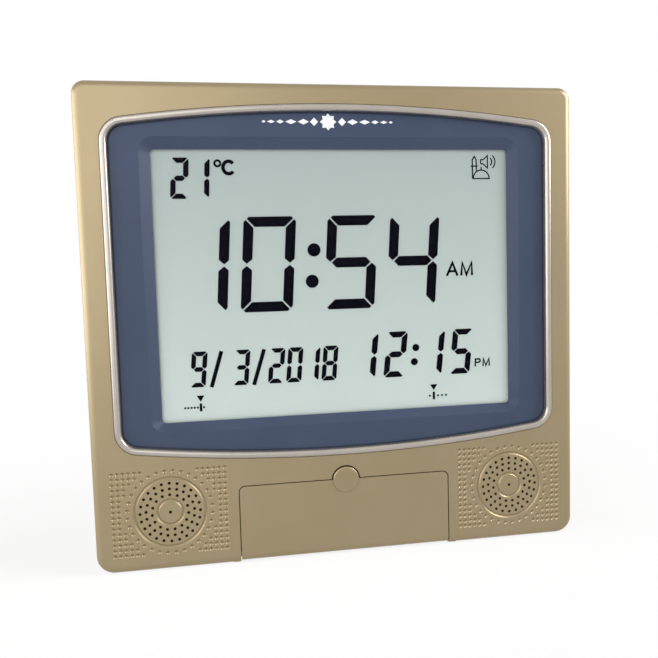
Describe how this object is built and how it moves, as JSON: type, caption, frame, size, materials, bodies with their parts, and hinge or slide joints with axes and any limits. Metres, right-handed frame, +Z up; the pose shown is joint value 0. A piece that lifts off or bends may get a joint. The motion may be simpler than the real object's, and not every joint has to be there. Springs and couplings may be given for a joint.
{
  "type": "azan clock",
  "caption": "Square wall and table prayer clock with a large segment display, speaker grilles, a flip-down settings door, sprung keys, a battery hatch and a folding stand.",
  "frame": {"origin": "middle of the bottom of the whole clock's box, on the surface it stands on", "axes": "+Z up, +X across the clock to its right as seen from the front, and the front faces -Y"},
  "size_m": [0.235, 0.036, 0.2235],
  "materials": {
    "gold_case": "satin champagne gold lacquer on moulded ABS",
    "silver_trim": "silver lacquered ABS bead",
    "slate_panel": "slate blue satin moulded ABS",
    "clear_window": "clear acrylic",
    "lcd_cell": "grey-green liquid crystal cell",
    "light_sheet": "clear acrylic light guide",
    "white_sheet": "white film",
    "board_green": "green solder mask on glass epoxy",
    "zebra_rubber": "silicone rubber with carbon layers",
    "white_plastic": "white moulded plastic",
    "black_resin": "black resin",
    "bright_metal": "nickel plated steel",
    "screw_steel": "zinc plated steel",
    "key_rubber": "silicone rubber",
    "key_cap": "light grey moulded ABS",
    "cell_wrap": "plain printed film wrap",
    "speaker_paper": "black paper pulp",
    "magnet": "ferrite and zinc plated steel",
    "lead_jacket": "soft black wire jacket"
  },
  "bodies": {
    "casing": {"amplifier_chip": "black_resin", "back_cover": "gold_case", "backlight_strip": "board_green", "battery_1": "cell_wrap", "battery_2": "cell_wrap", "battery_3": "cell_wrap", "battery_contacts": "bright_metal", "battery_lead": "lead_jacket", "board_plugs": "white_plastic", "board_screws": "screw_steel", "capacitors": "black_resin", "clock_chip": "black_resin", "clock_crystal": "bright_metal", "cover_screws": "screw_steel", "display_bezel": "slate_panel", "display_window": "clear_window", "front_frame": "gold_case", "key_board": "board_green", "key_board_screws": "screw_steel", "key_lead": "lead_jacket", "key_mat": "key_rubber", "key_panel": "slate_panel", "lcd_glass": "lcd_cell", "lcd_tray": "white_plastic", "light_guide": "light_sheet", "main_board": "board_green", "power_jack": "black_resin", "rear_polariser": "lcd_cell", "reflector_sheet": "white_sheet", "speaker_cone_left": "speaker_paper", "speaker_cone_right": "speaker_paper", "speaker_frame_left": "screw_steel", "speaker_frame_right": "screw_steel", "speaker_lead_left": "lead_jacket", "speaker_lead_right": "lead_jacket", "speaker_magnet_left": "magnet", "speaker_magnet_right": "magnet", "speaker_screws": "screw_steel", "stand_pin": "bright_metal", "tray_screws": "screw_steel", "trim_ring": "silver_trim", "voice_memory_chip": "black_resin", "zebra_connector": "zebra_rubber"},
    "settings_door": {"settings_door": "gold_case"},
    "battery_hatch": {"battery_hatch": "gold_case"},
    "rear_stand": {"rear_stand": "gold_case"},
    "key_set": {"key_set": "key_cap"},
    "key_up": {"key_up": "key_cap"},
    "key_down": {"key_down": "key_cap"},
    "key_alarm": {"key_alarm": "key_cap"},
    "key_call": {"key_call": "key_cap"},
    "key_light": {"key_light": "key_cap"}
  },
  "joints": [
    {"name": "settings_door_hinge", "type": "hinge", "parent": "casing", "child": "settings_door", "pos_m": [0, -0.0137, 0.0039], "axis": [1, 0, 0], "range_deg": [0, 90]},
    {"name": "battery_hatch_hinge", "type": "hinge", "parent": "casing", "child": "battery_hatch", "pos_m": [0.071, 0.0163, 0.0745], "axis": [-1, 0, 0], "range_deg": [0, 90]},
    {"name": "rear_stand_hinge", "type": "hinge", "parent": "casing", "child": "rear_stand", "pos_m": [0, 0.0146, 0.0995], "axis": [1, 0, 0], "range_deg": [0, 25]},
    {"name": "key_set_press", "type": "slide", "parent": "casing", "child": "key_set", "axis": [0, 1, 0], "range_m": [0, 0.0009], "stiffness_N_per_m": 1200},
    {"name": "key_up_press", "type": "slide", "parent": "casing", "child": "key_up", "axis": [0, 1, 0], "range_m": [0, 0.0009], "stiffness_N_per_m": 1200},
    {"name": "key_down_press", "type": "slide", "parent": "casing", "child": "key_down", "axis": [0, 1, 0], "range_m": [0, 0.0009], "stiffness_N_per_m": 1200},
    {"name": "key_alarm_press", "type": "slide", "parent": "casing", "child": "key_alarm", "axis": [0, 1, 0], "range_m": [0, 0.0009], "stiffness_N_per_m": 1200},
    {"name": "key_call_press", "type": "slide", "parent": "casing", "child": "key_call", "axis": [0, 1, 0], "range_m": [0, 0.0009], "stiffness_N_per_m": 1200},
    {"name": "key_light_press", "type": "slide", "parent": "casing", "child": "key_light", "axis": [0, 1, 0], "range_m": [0, 0.0009], "stiffness_N_per_m": 1200}
  ]
}
